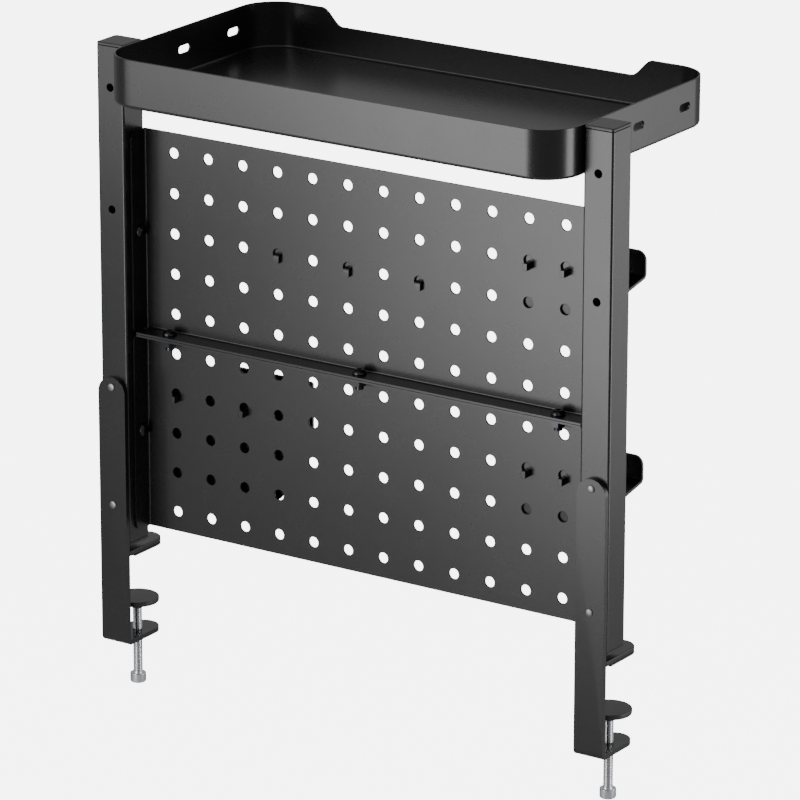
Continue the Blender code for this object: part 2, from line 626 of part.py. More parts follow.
def main():
    clear_scene()
    paint = material("black_powder_coat", (0.022, 0.022, 0.024), 0.42, 0.0)
    zinc = material("bright_zinc", (0.62, 0.63, 0.65), 0.22, 1.0)
    rivet_metal = material("rivet_steel", (0.45, 0.45, 0.46), 0.38, 1.0)
    black_oxide = material("black_oxide", (0.06, 0.06, 0.065), 0.25, 1.0)
    plastic = material("black_plastic", (0.03, 0.03, 0.032), 0.5, 0.0)
    rubber = material("grey_rubber", (0.09, 0.09, 0.095), 0.8, 0.0)

    for side, sign in SIDES:
        make_post(side, sign, paint)
        make_cap(f"post_cap_top_{side}", sign * POST_X, POST_TOP, -1, plastic)
        make_cap(f"post_cap_bottom_{side}", sign * POST_X, POST_BOTTOM, 1, plastic)
        make_clamp_bar(side, sign, paint)
        make_rivets(side, sign, rivet_metal)
        make_foot(side, sign, paint, rubber)
        make_clamp_screw(side, sign, zinc)
        make_pressure_pad(side, sign, plastic)

    upper_fold = SPLIT_Z + GAP / 2, SPLIT_Z + GAP / 2 + SHEET
    lower_fold = SPLIT_Z - GAP / 2 - SHEET, SPLIT_Z - GAP / 2
    make_panel("panel_upper", SPLIT_Z + GAP / 2, PANEL_TOP, upper_fold, paint)
    make_panel("panel_lower", PANEL_BOTTOM, SPLIT_Z - GAP / 2, lower_fold, paint)
    make_flange_fasteners(black_oxide)
    make_side_screws(black_oxide)
    make_tray(paint)
    make_tray_screws(black_oxide)

    for index, column in enumerate(HOOK_COLUMNS, 1):
        make_hook(index, column, paint)
    for place, row in zip(("upper", "lower"), HOLDER_ROWS):
        make_holder(place, row, paint)
    make_trough(paint)


main()
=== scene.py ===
"""The desk-clamp pegboard's finished look: sheet metal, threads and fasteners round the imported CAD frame.

Metres in the CAD's own frame: Z = 0 is the desk top, Y = 0 the desk edge, X = 0 midway between the posts.
"""

import json
import math

import bmesh
import bpy
from mathutils import Matrix, Vector

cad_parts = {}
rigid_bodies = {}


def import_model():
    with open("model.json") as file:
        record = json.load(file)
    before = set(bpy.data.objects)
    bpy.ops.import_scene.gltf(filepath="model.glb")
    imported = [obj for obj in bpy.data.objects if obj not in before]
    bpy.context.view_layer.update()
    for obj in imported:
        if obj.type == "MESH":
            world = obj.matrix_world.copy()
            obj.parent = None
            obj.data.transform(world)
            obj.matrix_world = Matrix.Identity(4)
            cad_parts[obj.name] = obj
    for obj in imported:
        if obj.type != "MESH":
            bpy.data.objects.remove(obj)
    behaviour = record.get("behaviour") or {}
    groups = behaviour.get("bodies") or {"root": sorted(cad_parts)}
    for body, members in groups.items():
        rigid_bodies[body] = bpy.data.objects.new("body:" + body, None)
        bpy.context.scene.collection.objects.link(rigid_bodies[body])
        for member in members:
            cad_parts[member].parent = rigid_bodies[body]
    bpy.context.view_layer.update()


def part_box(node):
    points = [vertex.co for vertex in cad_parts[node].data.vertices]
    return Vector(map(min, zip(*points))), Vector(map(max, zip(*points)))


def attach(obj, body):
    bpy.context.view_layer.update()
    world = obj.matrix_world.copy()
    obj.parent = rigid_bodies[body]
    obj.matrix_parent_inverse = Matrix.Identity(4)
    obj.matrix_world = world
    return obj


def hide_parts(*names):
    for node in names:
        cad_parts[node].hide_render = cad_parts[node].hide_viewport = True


for startup in list(bpy.data.objects):
    bpy.data.objects.remove(startup, do_unlink=True)
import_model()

MM = 0.001
SIDES = (("left", -1), ("right", 1))

# Peg grid
PITCH = 25.4 * MM
COLUMNS, ROWS = 12, 10
PEG_R = 3.33 * MM
ROW_1_Z = 258.25 * MM

# Posts
POST_X, POST_Y, TUBE = 172.6 * MM, 0.3 * MM, 20 * MM
TUBE_CORNER, TUBE_WALL = 1.5 * MM, 1.5 * MM
POST_HOLE_R = 2.45 * MM
POST_HOLES_Z = (298.45 * MM, 222.25 * MM)

# Clamps
BAR, BAR_W = 3.2 * MM, 20 * MM
BAR_TOP, BAR_BOTTOM = 116.25 * MM, -56.75 * MM
JAW_END, FOOT_END = 35.8 * MM, 38.8 * MM
CAP_TOP, CAP_BOTTOM = 326 * MM, 7.85 * MM  # outer faces of the posts' end caps
RIVETS_Z = (110.2 * MM, 34.2 * MM)
RIVET_HOLE_R, JAW_HOLE_R = 2.2 * MM, 3.15 * MM
SCREW_Y, SCREW_R, THREAD_PITCH = 20.2 * MM, 2.98 * MM, 1 * MM
HEAD_R, HEAD_TOP, HEAD_H = 5 * MM, -82.95 * MM, 6 * MM
DISC_R, DISC_T, DISC_TOP = 13.75 * MM, 3.2 * MM, -32.25 * MM

# Panels
SHEET = 1.2 * MM
PANEL_W, PANEL_BACK, FLANGE = 324.6 * MM, 20.4 * MM, 14.8 * MM
PANEL_TOP, SPLIT_Z, PANEL_BOTTOM = 270.95 * MM, 143.95 * MM, 16.95 * MM
SPLIT_GAP = 0.3 * MM
FLANGE_SCREW_Y, SIDE_SCREW_Y = 13 * MM, 14.2 * MM
SIDE_SCREW_ROWS = (3, 8)

# Screws: shank radius, head radius, dome height and length under the head
FLANGE_SCREW = (2.5 * MM, 4.5 * MM, 3.4 * MM, 9.5 * MM)
SIDE_SCREW = (2.5 * MM, 4.5 * MM, 2.8 * MM, 9 * MM)
TRAY_SCREW = (2 * MM, 3.8 * MM, 2.2 * MM, 8 * MM)
SHEET_HOLE_R, POST_SCREW_HOLE_R, TRAY_HOLE_R = 2.8 * MM, 2.7 * MM, 2.2 * MM
SCREW_SEAT = 0.05 * MM
NUT_R = 4.6 * MM

# Tray
TRAY_W, TRAY_Y, TRAY_Z = 324.6 * MM, (-25.9 * MM, 148.45 * MM), (295.75 * MM, 325.8 * MM)
TRAY_R, LIP_Z = 25 * MM, 315.1 * MM
LIP_LOW, LIP_HIGH = 103.8 * MM, 118.8 * MM
SLOT_L, SLOT_H, SLOTS_Y, SLOT_Z = 12 * MM, 5 * MM, (61 * MM, 112.5 * MM), 311.4 * MM
TRAY_SCREWS_Y, TRAY_SCREW_Z = (5.3 * MM, 15.3 * MM), 303.2 * MM

# Hang-on parts
STEEL = 2 * MM
PLATE_Y = PANEL_BACK + 0.3 * MM
STRIP_TAB = {"across": (-1.4 * MM, 2.4 * MM), "neck": (-1.5 * MM, 0.5 * MM), "tip": -5.6 * MM,
             "reach": 2.6 * MM}
LUG = {"across": (-0.75 * MM, 2.35 * MM), "neck": (-1.9 * MM, -0.4 * MM), "tip": -4.8 * MM,
       "reach": 5.3 * MM}
# Heights below are from the tabs' row of peg holes, to the middle of the steel at bends
BEND_R = 2.4 * MM
HOOK_COLUMNS, HOOK_ROW, HOOK_W = (4, 6, 8), 3, 10 * MM
HOOK_TOP, HOOK_BEND, HOOK_ELBOW, HOOK_TIP = 6 * MM, -13 * MM, -9 * MM, 1 * MM
HOOK_REACH, HOOK_BEND_R, HOOK_CORNER = 21 * MM, 2.2 * MM, 2.3 * MM
HOLDER_COLUMNS, HOLDER_ROWS, HOLDER_W = (11, 12), (("upper", 2), ("lower", 7)), 44 * MM
HOLDER_TOP, HOLDER_BEND, HOLDER_ELBOW, HOLDER_LIP = 6 * MM, -36.6 * MM, -22.5 * MM, -6.9 * MM
HOLDER_END_Y, HOLDER_CORNER = 93.9 * MM, 6 * MM
TROUGH_COLUMNS, TROUGH_ROW = (1, 3), 7
TROUGH_W, TROUGH_PLATE_W = 110.6 * MM, 103.6 * MM
TROUGH_STANDOFF, TROUGH_WALL_Y, TROUGH_STEP_X = 4 * MM, 49.8 * MM, -7.7 * MM
TROUGH_TOP, TROUGH_BOTTOM, TROUGH_FLOOR = 13.8 * MM, -58.2 * MM, -32.6 * MM
TROUGH_WALL, TROUGH_WALL_LOW = 13.8 * MM, 5 * MM
TROUGH_CORNER, TROUGH_WALL_CORNER = 12 * MM, 2 * MM

# Camera: its place in the CAD frame, the way it faces and its lens
CAMERA_AT = (1.72769, -2.53028, 1.12353)
CAMERA_AZIMUTH, CAMERA_ELEVATION, CAMERA_ROLL = 33.740, 17.927, 0.0823
CAMERA_LENS = 243.98

# Light: how bright the floor and the background look to the camera, the even light from all round,
# and the softboxes with their name, place, the point they face, width and height, and watts
WHITE = 6
SURROUNDINGS = 0.46
SOFTBOXES = (
    ("key", (-0.30, -0.85, 0.05), (0.10, 0, 0.25), (0.45, 0.35), 2.24),
    ("key_wide", (-0.50, -0.80, 0.15), (0, 0, 0.30), (1.0, 0.20), 1.84),
    ("fill", (-0.45, -1.00, 0), (0, 0, 0.20), (0.70, 0.60), 0.97),
    ("low_fill", (-0.20, -0.80, -0.12), (0.17, 0, 0.10), (0.30, 0.25), 0.9),
    ("front_high", (-0.60, -1.30, 0.80), (0, 0, 0.25), (0.90, 0.90), 8.0),
    ("side", (1.30, 1.10, 0.10), (0.15, 0, 0.15), (1.10, 0.70), 2.84),
    ("side_low", (0.90, 1.00, -0.05), (0.18, 0, 0.15), (0.60, 0.50), 1.0),
    ("side_near", (1.20, 0.32, -0.02), (0.16, 0, 0.31), (0.60, 0.50), 7.0),
)


def column_x(column):
    return (column - (COLUMNS + 1) / 2) * PITCH


def row_z(row):
    return ROW_1_Z - (row - 1) * PITCH


# ---------------------------------------------------------------- outlines and solids


def arc(centre, radius, start, end, steps):
    angles = (math.radians(start + (end - start) * i / steps) for i in range(steps + 1))
    return [(centre[0] + radius * math.cos(a), centre[1] + radius * math.sin(a)) for a in angles]


def rounded_rectangle(low, high, radius, steps):
    (x0, y0), (x1, y1) = low, high
    corners = (((x1 - radius, y0 + radius), -90), ((x1 - radius, y1 - radius), 0),
               ((x0 + radius, y1 - radius), 90), ((x0 + radius, y0 + radius), 180))
    return [p for centre, start in corners for p in arc(centre, radius, start, start + 90, steps)]


def tongue(half_width, start, end, steps=32):
    return [(-half_width, start), (half_width, start)] + arc((0, end - half_width), half_width, 0, 180, steps)


def placed(axis, pair, depth):
    a, b = pair
    return {"X": (depth, a, b), "Y": (a, depth, b), "Z": (a, b, depth)}[axis]


def prism(bm, outline, axis, start, end):
    near = [bm.verts.new(placed(axis, pair, start)) for pair in outline]
    far = [bm.verts.new(placed(axis, pair, end)) for pair in outline]
    bm.faces.new(near)
    bm.faces.new(far[::-1])
    for i in range(len(outline)):
        j = (i + 1) % len(outline)
        bm.faces.new((near[i], far[i], far[j], near[j]))


def tube_prism(bm, outer, inner, axis, start, end):
    rings = [[bm.verts.new(placed(axis, pair, depth)) for pair in outline]
             for outline, depth in ((outer, start), (outer, end), (inner, end), (inner, start))]
    for ring, after in zip(rings, rings[1:] + rings[:1]):
        for i in range(len(outer)):
            j = (i + 1) % len(outer)
            bm.faces.new((ring[i], ring[j], after[j], after[i]))


def box(bm, low, high):
    outline = [(low[0], low[1]), (high[0], low[1]), (high[0], high[1]), (low[0], high[1])]
    prism(bm, outline, "Z", low[2], high[2])


def turned(bm, profile, steps, matrix=None):
    """A solid of revolution about Z from (radius, z) pairs, then placed by a matrix."""
    start = len(bm.verts)
    rings = []
    for radius, z in profile:
        count = steps if radius > 0 else 1
        rings.append([bm.verts.new((radius * math.cos(math.tau * i / steps),
                                    radius * math.sin(math.tau * i / steps), z)) for i in range(count)])
    for low, high in zip(rings, rings[1:]):
        for i in range(steps):
            j = (i + 1) % steps
            corners = [low[i % len(low)], low[j % len(low)], high[j % len(high)], high[i % len(high)]]
            bm.faces.new(list(dict.fromkeys(corners)))
    if matrix is not None:
        bm.verts.ensure_lookup_table()
        bmesh.ops.transform(bm, matrix=matrix, verts=bm.verts[start:])


def pointing(axis, at):
    """A matrix that turns +Z to an axis such as "-Y" and moves the origin to a point."""
    turn = {"+Z": (0, "X"), "-Z": (180, "X"), "+Y": (-90, "X"), "-Y": (90, "X"),
            "+X": (90, "Y"), "-X": (-90, "Y")}
    degrees, about = turn[axis]
    return Matrix.Translation(at) @ Matrix.Rotation(math.radians(degrees), 4, about)


def bent(points, radius, thickness, steps=8):
    """The closed outline of a sheet whose middle follows points, with its corners bent to a mid radius."""
    along = []
    for i, point in enumerate(points):
        here = Vector(point)
        before = (here - Vector(points[i - 1])).normalized() if i else None
        after = (Vector(points[i + 1]) - here).normalized() if i < len(points) - 1 else None
        if before is None or after is None:
            direction = after or before
            along.append((here, Vector((-direction.y, direction.x))))
            continue
        turn = before.angle_signed(after)
        reach = radius * math.tan(abs(turn) / 2)
        side = -math.copysign(1, turn)
        centre = here - before * reach + Vector((-before.y, before.x)) * side * radius
        for step in range(steps + 1):
            angle = -turn * step / steps
            normal = Matrix.Rotation(angle, 2) @ Vector((-before.y, before.x))
            along.append((centre - normal * side * radius, normal))
    half = thickness / 2
    return [tuple(p + n * half) for p, n in along] + [tuple(p - n * half) for p, n in reversed(along)]


# ---------------------------------------------------------------- objects


def link(name, bm):
    bmesh.ops.recalc_face_normals(bm, faces=bm.faces)
    mesh = bpy.data.meshes.new(name)
    bm.to_mesh(mesh)
    bm.free()
    obj = bpy.data.objects.new(name, mesh)
    bpy.context.scene.collection.objects.link(obj)
    return obj


def combine(obj, bm, operation="DIFFERENCE"):
    """Applies a Boolean at once, so that shading is set on the final faces."""
    other = link("cutter", bm)
    modifier = obj.modifiers.new("cut", "BOOLEAN")
    modifier.operation = operation
    modifier.solver = "EXACT"
    modifier.object = other
    bpy.context.view_layer.update()
    graph = bpy.context.evaluated_depsgraph_get()
    made = bpy.data.meshes.new_from_object(obj.evaluated_get(graph))
    obj.modifiers.clear()
    old = obj.data
    obj.data = made
    bpy.data.meshes.remove(old)
    bpy.data.objects.remove(other, do_unlink=True)


def dressed(obj, body, finish, replaces=(), smooth=30, edge=0.0, segments=2):
    """Shading, rounded edges, material, and the CAD nodes that the piece stands for."""
    obj.data.materials.clear()
    obj.data.materials.append(finish)
    obj.data.shade_smooth()
    if edge:
        bevel = obj.modifiers.new("edge", "BEVEL")
        bevel.width = edge
        bevel.segments = segments
        bevel.limit_method = "ANGLE"
        bevel.angle_limit = math.radians(smooth)
        bevel.harden_normals = True
        bevel.use_clamp_overlap = True
    else:
        obj.data.set_sharp_from_angle(angle=math.radians(smooth))
        flat = obj.modifiers.new("flat", "WEIGHTED_NORMAL")
        flat.weight = 100
        flat.keep_sharp = True
    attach(obj, body)
    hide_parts(*replaces)


# ---------------------------------------------------------------- materials


def shader_nodes(name):
    made = bpy.data.materials.new(name)
    made.use_nodes = True
    return made, made.node_tree, made.node_tree.nodes["Principled BSDF"]


def noise(tree, scale, detail, stretch=(1, 1, 1)):
    coordinates = tree.nodes.new("ShaderNodeTexCoord")
    mapping = tree.nodes.new("ShaderNodeMapping")
    mapping.inputs["Scale"].default_value = stretch
    texture = tree.nodes.new("ShaderNodeTexNoise")
    texture.inputs["Scale"].default_value = scale
    texture.inputs["Detail"].default_value = detail
    tree.links.new(coordinates.outputs["Object"], mapping.inputs["Vector"])
    tree.links.new(mapping.outputs["Vector"], texture.inputs["Vector"])
    return texture.outputs["Fac"]


def spread(tree, value, low, high, start=0.3, end=0.7):
    remap = tree.nodes.new("ShaderNodeMapRange")
    remap.inputs["From Min"].default_value = start
    remap.inputs["From Max"].default_value = end
    remap.inputs["To Min"].default_value = low
    remap.inputs["To Max"].default_value = high
    tree.links.new(value, remap.inputs["Value"])
    return remap.outputs["Result"]


def bump(tree, height, distance, strength, under=None):
    node = tree.nodes.new("ShaderNodeBump")
    node.inputs["Distance"].default_value = distance
    node.inputs["Strength"].default_value = strength
    tree.links.new(height, node.inputs["Height"])
    if under is not None:
        tree.links.new(under, node.inputs["Normal"])
    return node.outputs["Normal"]


def powder_coat():
    """Black powder coat: a fine orange-peel relief, slightly uneven in gloss."""
    made, tree, shader = shader_nodes("powder_coat")
    shader.inputs["Base Color"].default_value = (0.007, 0.007, 0.0073, 1)
    shader.inputs["Specular IOR Level"].default_value = 0.5
    tree.links.new(spread(tree, noise(tree, 45, 4), 0.262, 0.278), shader.inputs["Roughness"])
    peel = bump(tree, noise(tree, 520, 2), 0.00004, 0.15)
    grain = bump(tree, noise(tree, 2600, 2), 0.00002, 0.3, peel)
    tree.links.new(grain, shader.inputs["Normal"])
    return made


def metal(name, colour, low, high, grain_scale, stretch=(1, 1, 1), relief=0.00001):
    made, tree, shader = shader_nodes(name)
    shader.inputs["Base Color"].default_value = (*colour, 1)
    shader.inputs["Metallic"].default_value = 1
    streaks = noise(tree, grain_scale, 4, stretch)
    tree.links.new(spread(tree, streaks, low, high), shader.inputs["Roughness"])
    tree.links.new(bump(tree, streaks, relief, 0.4), shader.inputs["Normal"])
    return made


def moulded(name, colour, roughness, scale, relief):
    """Plastic or rubber with a fine moulded grain."""
    made, tree, shader = shader_nodes(name)
    shader.inputs["Base Color"].default_value = (*colour, 1)
    grain = noise(tree, scale, 3)
    tree.links.new(spread(tree, grain, roughness - 0.05, roughness + 0.05), shader.inputs["Roughness"])
    tree.links.new(bump(tree, grain, relief, 0.5), shader.inputs["Normal"])
    return made


PAINT = powder_coat()
ZINC = metal("bright_zinc", (0.66, 0.67, 0.69), 0.16, 0.30, 900)
RIVET = metal("rivet_steel", (0.20, 0.20, 0.21), 0.34, 0.46, 1200)
OXIDE = metal("black_oxide", (0.045, 0.045, 0.05), 0.16, 0.28, 900)
PLASTIC = moulded("black_plastic", (0.016, 0.016, 0.017), 0.36, 1500, 0.00002)
RUBBER = moulded("grey_rubber", (0.06, 0.06, 0.063), 0.75, 1900, 0.00004)


# ---------------------------------------------------------------- posts and clamps


def make_post(side, sign):
    x = sign * POST_X
    half = TUBE / 2
    low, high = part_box(f"post_{side}")
    outer = rounded_rectangle((x - half, POST_Y), (x + half, POST_Y + TUBE), TUBE_CORNER, 8)
    inner = rounded_rectangle((x - half + TUBE_WALL, POST_Y + TUBE_WALL),
                              (x + half - TUBE_WALL, POST_Y + TUBE - TUBE_WALL), TUBE_CORNER / 2, 8)
    bm = bmesh.new()
    tube_prism(bm, outer, inner, "Z", low.z, high.z)
    post = link(f"post_{side}_shell", bm)
    holes = bmesh.new()
    for z in POST_HOLES_Z:
        through(holes, POST_HOLE_R, "+Y", (x, POST_Y, z), TUBE_WALL)
    for z in RIVETS_Z:
        through(holes, RIVET_HOLE_R, "+Y", (x, POST_Y, z), TUBE_WALL)
    face = sign * (POST_X - half)
    for row in SIDE_SCREW_ROWS:
        through(holes, POST_SCREW_HOLE_R, outwards(sign), (face, SIDE_SCREW_Y, row_z(row)), TUBE_WALL)
    for y in TRAY_SCREWS_Y:
        through(holes, TRAY_HOLE_R, outwards(sign), (face, y, TRAY_SCREW_Z), TUBE_WALL)
    combine(post, holes)
    dressed(post, "frame", PAINT, [f"post_{side}"], smooth=25)


def outwards(sign):
    return "+X" if sign > 0 else "-X"


def through(bm, radius, axis, at, wall, steps=32, chamfer=0.25 * MM):
    """A cutter for a round hole with softened edges through a wall that starts at a point."""
    past = 0.6 * MM
    mouth, shoulder, turn_in = radius + chamfer, radius + 0.08 * MM, chamfer * 0.45
    profile = [(0, -past), (mouth + past, -past), (mouth, 0), (shoulder, turn_in), (radius, chamfer),
               (radius, wall - chamfer), (shoulder, wall - turn_in), (mouth, wall),
               (mouth + past, wall + past), (0, wall + past)]
    turned(bm, profile, steps, pointing(axis, at))


def make_cap(name, x, tip, inward):
    """Moulded end cap: a softened square rim flush with the tube, and its plug inside."""
    half = TUBE / 2
    low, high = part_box(name)
    rim = tip + inward * 2 * MM
    rings = []
    for inset, depth in ((0.9, 0), (0.45, 0.1), (0.15, 0.35), (0, 0.8), (0, 1.7), (0.35, 2.0)):
        d = inset * MM
        z = tip + inward * depth * MM
        outline = rounded_rectangle((x - half + d, POST_Y + d), (x + half - d, POST_Y + TUBE - d),
                                    max(TUBE_CORNER - d * 0.5, 0.6 * MM), 6)
        rings.append([(a, b, z) for a, b in outline])
    bm = bmesh.new()
    made = [[bm.verts.new(p) for p in ring] for ring in rings]
    for ring, after in zip(made, made[1:]):
        for i in range(len(ring)):
            j = (i + 1) % len(ring)
            bm.faces.new((ring[i], ring[j], after[j], after[i]))
    bm.faces.new(made[0])
    bm.faces.new(made[-1][::-1])
    inset = TUBE_WALL + 0.3 * MM
    end = low.z if inward < 0 else high.z
    box(bm, (x - half + inset, POST_Y + inset, min(rim, end)),
        (x + half - inset, POST_Y + TUBE - inset, max(rim, end)))
    dressed(link(f"{name}_moulding", bm), "frame", PLASTIC, [name], smooth=35)


def make_clamp_bar(side, sign):
    """Flat bar bent into the lower jaw, with rolled edges, a round top and a round jaw end."""
    x, half, middle = sign * POST_X, BAR_W / 2, -BAR / 2
    jaw_z = BAR_BOTTOM + BAR / 2
    bm = bmesh.new()
    path = [(middle, BAR_TOP), (middle, jaw_z), (JAW_END, jaw_z)]
    prism(bm, bent(path, BEND_R, BAR), "X", x - half, x + half)
    bar = link(f"clamp_bar_{side}_steel", bm)
    upright = bmesh.new()
    outline = [(x + a, z) for a, z in tongue(half, BAR_BOTTOM - 5 * MM, BAR_TOP)]
    prism(upright, outline, "Y", -10 * MM, 60 * MM)
    combine(bar, upright, "INTERSECT")
    flat = bmesh.new()
    outline = [(x + a, y) for a, y in tongue(half, -10 * MM, JAW_END)]
    prism(flat, outline, "Z", BAR_BOTTOM - 5 * MM, BAR_TOP + 5 * MM)
    combine(bar, flat, "INTERSECT")
    holes = bmesh.new()
    for z in RIVETS_Z:
        turned(holes, plug(RIVET_HOLE_R), 24, pointing("+Y", (x, -BAR, z)))
    turned(holes, plug(JAW_HOLE_R), 32, pointing("+Z", (x, SCREW_Y, BAR_BOTTOM)))
    combine(bar, holes)
    dressed(bar, "frame", PAINT, [f"clamp_bar_{side}"], smooth=40, edge=0.8 * MM,
            segments=4)


def plug(radius):
    """Profile of a plain cutter that goes right through a bar."""
    return [(0, -1 * MM), (radius, -1 * MM), (radius, 5 * MM), (0, 5 * MM)]


def make_rivets(side, sign):
    for place, z in zip(("upper", "lower"), RIVETS_Z):
        bm = bmesh.new()
        dome = [(2.45 * math.cos(math.radians(a)) * MM, (0.3 + 0.65 * math.sin(math.radians(a))) * MM)
                for a in range(0, 90, 10)]
        turned(bm, [(0, -5.2 * MM), (2.0 * MM, -5 * MM), (2.0 * MM, 0.3 * MM)] + dome + [(0, 0.95 * MM)], 40,
               pointing("-Y", (sign * POST_X, -BAR, z)))
        node = f"rivet_{side}_{place}"
        dressed(link(f"{node}_head", bm), "frame", RIVET, [node])


def make_foot(side, sign):
    x = sign * POST_X
    for node, start, finish, slot, edge in (
        ("foot_plate", 0.3 * MM, PAINT, "black_powder_coat", 0.6 * MM),
        ("foot_pad", 5.5 * MM, RUBBER, "grey_rubber", 0.15 * MM),
    ):
        low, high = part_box(f"{node}_{side}")
        bm = bmesh.new()
        prism(bm, [(x + a, y) for a, y in tongue(BAR_W / 2, start, FOOT_END)], "Z", low.z, high.z)
        dressed(link(f"{node}_{side}_part", bm), "frame", finish, [f"{node}_{side}"], smooth=40,
                edge=edge, segments=3)


def make_clamp_screw(side, sign):
    """M6 socket head screw, head down, with a cut thread and a knurled head."""
    x = sign * POST_X
    tip = DISC_TOP - DISC_T - 0.3 * MM
    steps, per_turn = 36, 10
    count = round((tip - HEAD_TOP) / THREAD_PITCH * per_turn)
    depth = 0.52 * MM
    bm = bmesh.new()
    rings = []
    for level in range(count + 1):
        z = HEAD_TOP + (tip - HEAD_TOP) * level / count
        runout = min(1, level / per_turn / 1.5, (count - level) / per_turn)
        ring = []
        for i in range(steps):
            phase = ((z - HEAD_TOP) / THREAD_PITCH - i / steps) % 1
            cut = min(1, max(0, 1.35 * (1 - abs(2 * phase - 1)) - 0.1))
            radius = SCREW_R - depth * cut * max(runout, 0) - (0.5 * MM if level == count else 0)
            angle = math.tau * i / steps
            ring.append(bm.verts.new((radius * math.cos(angle), radius * math.sin(angle), z)))
        rings.append(ring)
    for ring, after in zip(rings, rings[1:]):
        for i in range(steps):
            j = (i + 1) % steps
            bm.faces.new((ring[i], ring[j], after[j], after[i]))
    bm.faces.new(rings[-1])
    bottom = HEAD_TOP - HEAD_H
    ridges = 96
    heads = []
    for inset, z, knurl in ((2.05, bottom, 0), (0.5, bottom, 0), (0.12, bottom + 0.4 * MM, 0),
                            (0.0, bottom + 0.9 * MM, 1), (0.0, HEAD_TOP - 0.5 * MM, 1),
                            (0.12, HEAD_TOP - 0.2 * MM, 0), (0.4, HEAD_TOP, 0)):
        ring = []
        for i in range(ridges):
            angle = math.tau * i / ridges
            radius = HEAD_R - inset * MM - (0.13 * MM if knurl and i % 2 else 0)
            if inset > 2:
                sector = (angle + math.pi / 6) % (math.pi / 3) - math.pi / 6
                radius = 2.5 * MM / math.cos(sector)
            ring.append(bm.verts.new((radius * math.cos(angle), radius * math.sin(angle), z)))
        heads.append(ring)
    well = [bm.verts.new((v.co.x, v.co.y, bottom + 3 * MM)) for v in heads[0]]
    bm.faces.new(well)
    heads.insert(0, well)
    for ring, after in zip(heads, heads[1:]):
        for i in range(ridges):
            j = (i + 1) % ridges
            bm.faces.new((ring[i], ring[j], after[j], after[i]))
    bmesh.ops.bridge_loops(bm, edges=ring_edges(heads[-1]) + ring_edges(rings[0]))
    bmesh.ops.translate(bm, verts=bm.verts, vec=(x, SCREW_Y, 0))
    node = f"clamp_screw_{side}"
    dressed(link(f"{node}_steel", bm), node, ZINC, [node], smooth=38)


def ring_edges(ring):
    return [edge for i, vert in enumerate(ring) for edge in vert.link_edges
            if edge.other_vert(vert) is ring[(i + 1) % len(ring)]]


def make_pressure_pad(side, sign):
    x = sign * POST_X
    under = DISC_TOP - DISC_T
    boss = under - 3.8 * MM
    edge = 0.5 * MM
    rounded = [(DISC_R - edge + edge * math.cos(math.radians(a)),
                DISC_TOP - edge + edge * math.sin(math.radians(a))) for a in range(0, 91, 15)]
    profile = [(0, under), (JAW_HOLE_R, under), (JAW_HOLE_R, boss), (4.1 * MM, boss),
               (4.4 * MM, boss + 0.3 * MM), (5.2 * MM, boss + 0.9 * MM), (DISC_R - 0.8 * MM, under),
               (DISC_R - 0.2 * MM, under + 0.2 * MM), (DISC_R, under + 0.7 * MM)] + rounded + [(0, DISC_TOP)]
    bm = bmesh.new()
    turned(bm, profile, 72, pointing("+Z", (x, SCREW_Y, 0)))
    node = f"pressure_pad_{side}"
    dressed(link(f"{node}_disc", bm), node, PLASTIC, [node])


# ---------------------------------------------------------------- panels and their fasteners


def make_panel(node, low, high, fold):
    """Perforated pan with bent side flanges; fold 1 puts its cross flange at the bottom, -1 at the top."""
    half, near, middle = PANEL_W / 2, PANEL_BACK - FLANGE, PANEL_BACK - SHEET / 2
    wall = half - SHEET / 2
    bend = 1.5 * MM
    channel = bent([(-wall, near), (-wall, middle), (wall, middle), (wall, near)], bend, SHEET)
    bm = bmesh.new()
    prism(bm, channel, "Z", low, high)
    panel = link(f"{node}_sheet", bm)

    edge = low if fold > 0 else high
    ends = wall - 2.2 * MM
    joint = edge + fold * 6 * MM
    cuts = bmesh.new()
    box(cuts, (-ends, near + 2 * MM, min(edge - fold * 2 * MM, joint)),
        (ends, PANEL_BACK + 2 * MM, max(edge - fold * 2 * MM, joint)))
    corner, beyond = 5 * MM, 1 * MM
    for z, inward in ((low, 1), (high, -1)):
        outline = [(near - beyond, z - inward * beyond), (near + corner, z - inward * beyond)]
        start, end = (-90, -180) if inward > 0 else (90, 180)
        outline += arc((near + corner, z + inward * corner), corner, start, end, 8)
        outline.append((near - beyond, z + inward * corner))
        for sign in (-1, 1):
            prism(cuts, outline, "X", sign * (half - SHEET - beyond), sign * (half + beyond))
    for row in range(1, ROWS + 1):
        if low < row_z(row) < high:
            for column in range(1, COLUMNS + 1):
                through(cuts, PEG_R, "+Y", (column_x(column), PANEL_BACK - SHEET, row_z(row)), SHEET)
            if row in SIDE_SCREW_ROWS:
                for sign in (-1, 1):
                    at = (sign * (half - SHEET), SIDE_SCREW_Y, row_z(row))
                    through(cuts, SHEET_HOLE_R, outwards(sign), at, SHEET, 24)
    combine(panel, cuts)

    cross = edge + fold * SHEET / 2
    bm = bmesh.new()
    prism(bm, bent([(middle, joint), (middle, cross), (near, cross)], bend, SHEET), "X", -ends, ends)
    flange = link("flange", bm)
    cuts = bmesh.new()
    for x in flange_screws_x():
        through(cuts, SHEET_HOLE_R, "+Z", (x, FLANGE_SCREW_Y, min(edge, edge + fold * SHEET)), SHEET, 24)
    combine(flange, cuts)
    joined = bmesh.new()
    joined.from_mesh(panel.data)
    joined.from_mesh(flange.data)
    joined.to_mesh(panel.data)
    joined.free()
    bpy.data.objects.remove(flange, do_unlink=True)
    dressed(panel, "frame", PAINT, [node], smooth=28)


def flange_screws_x():
    return column_x(1), 0.0, column_x(COLUMNS)


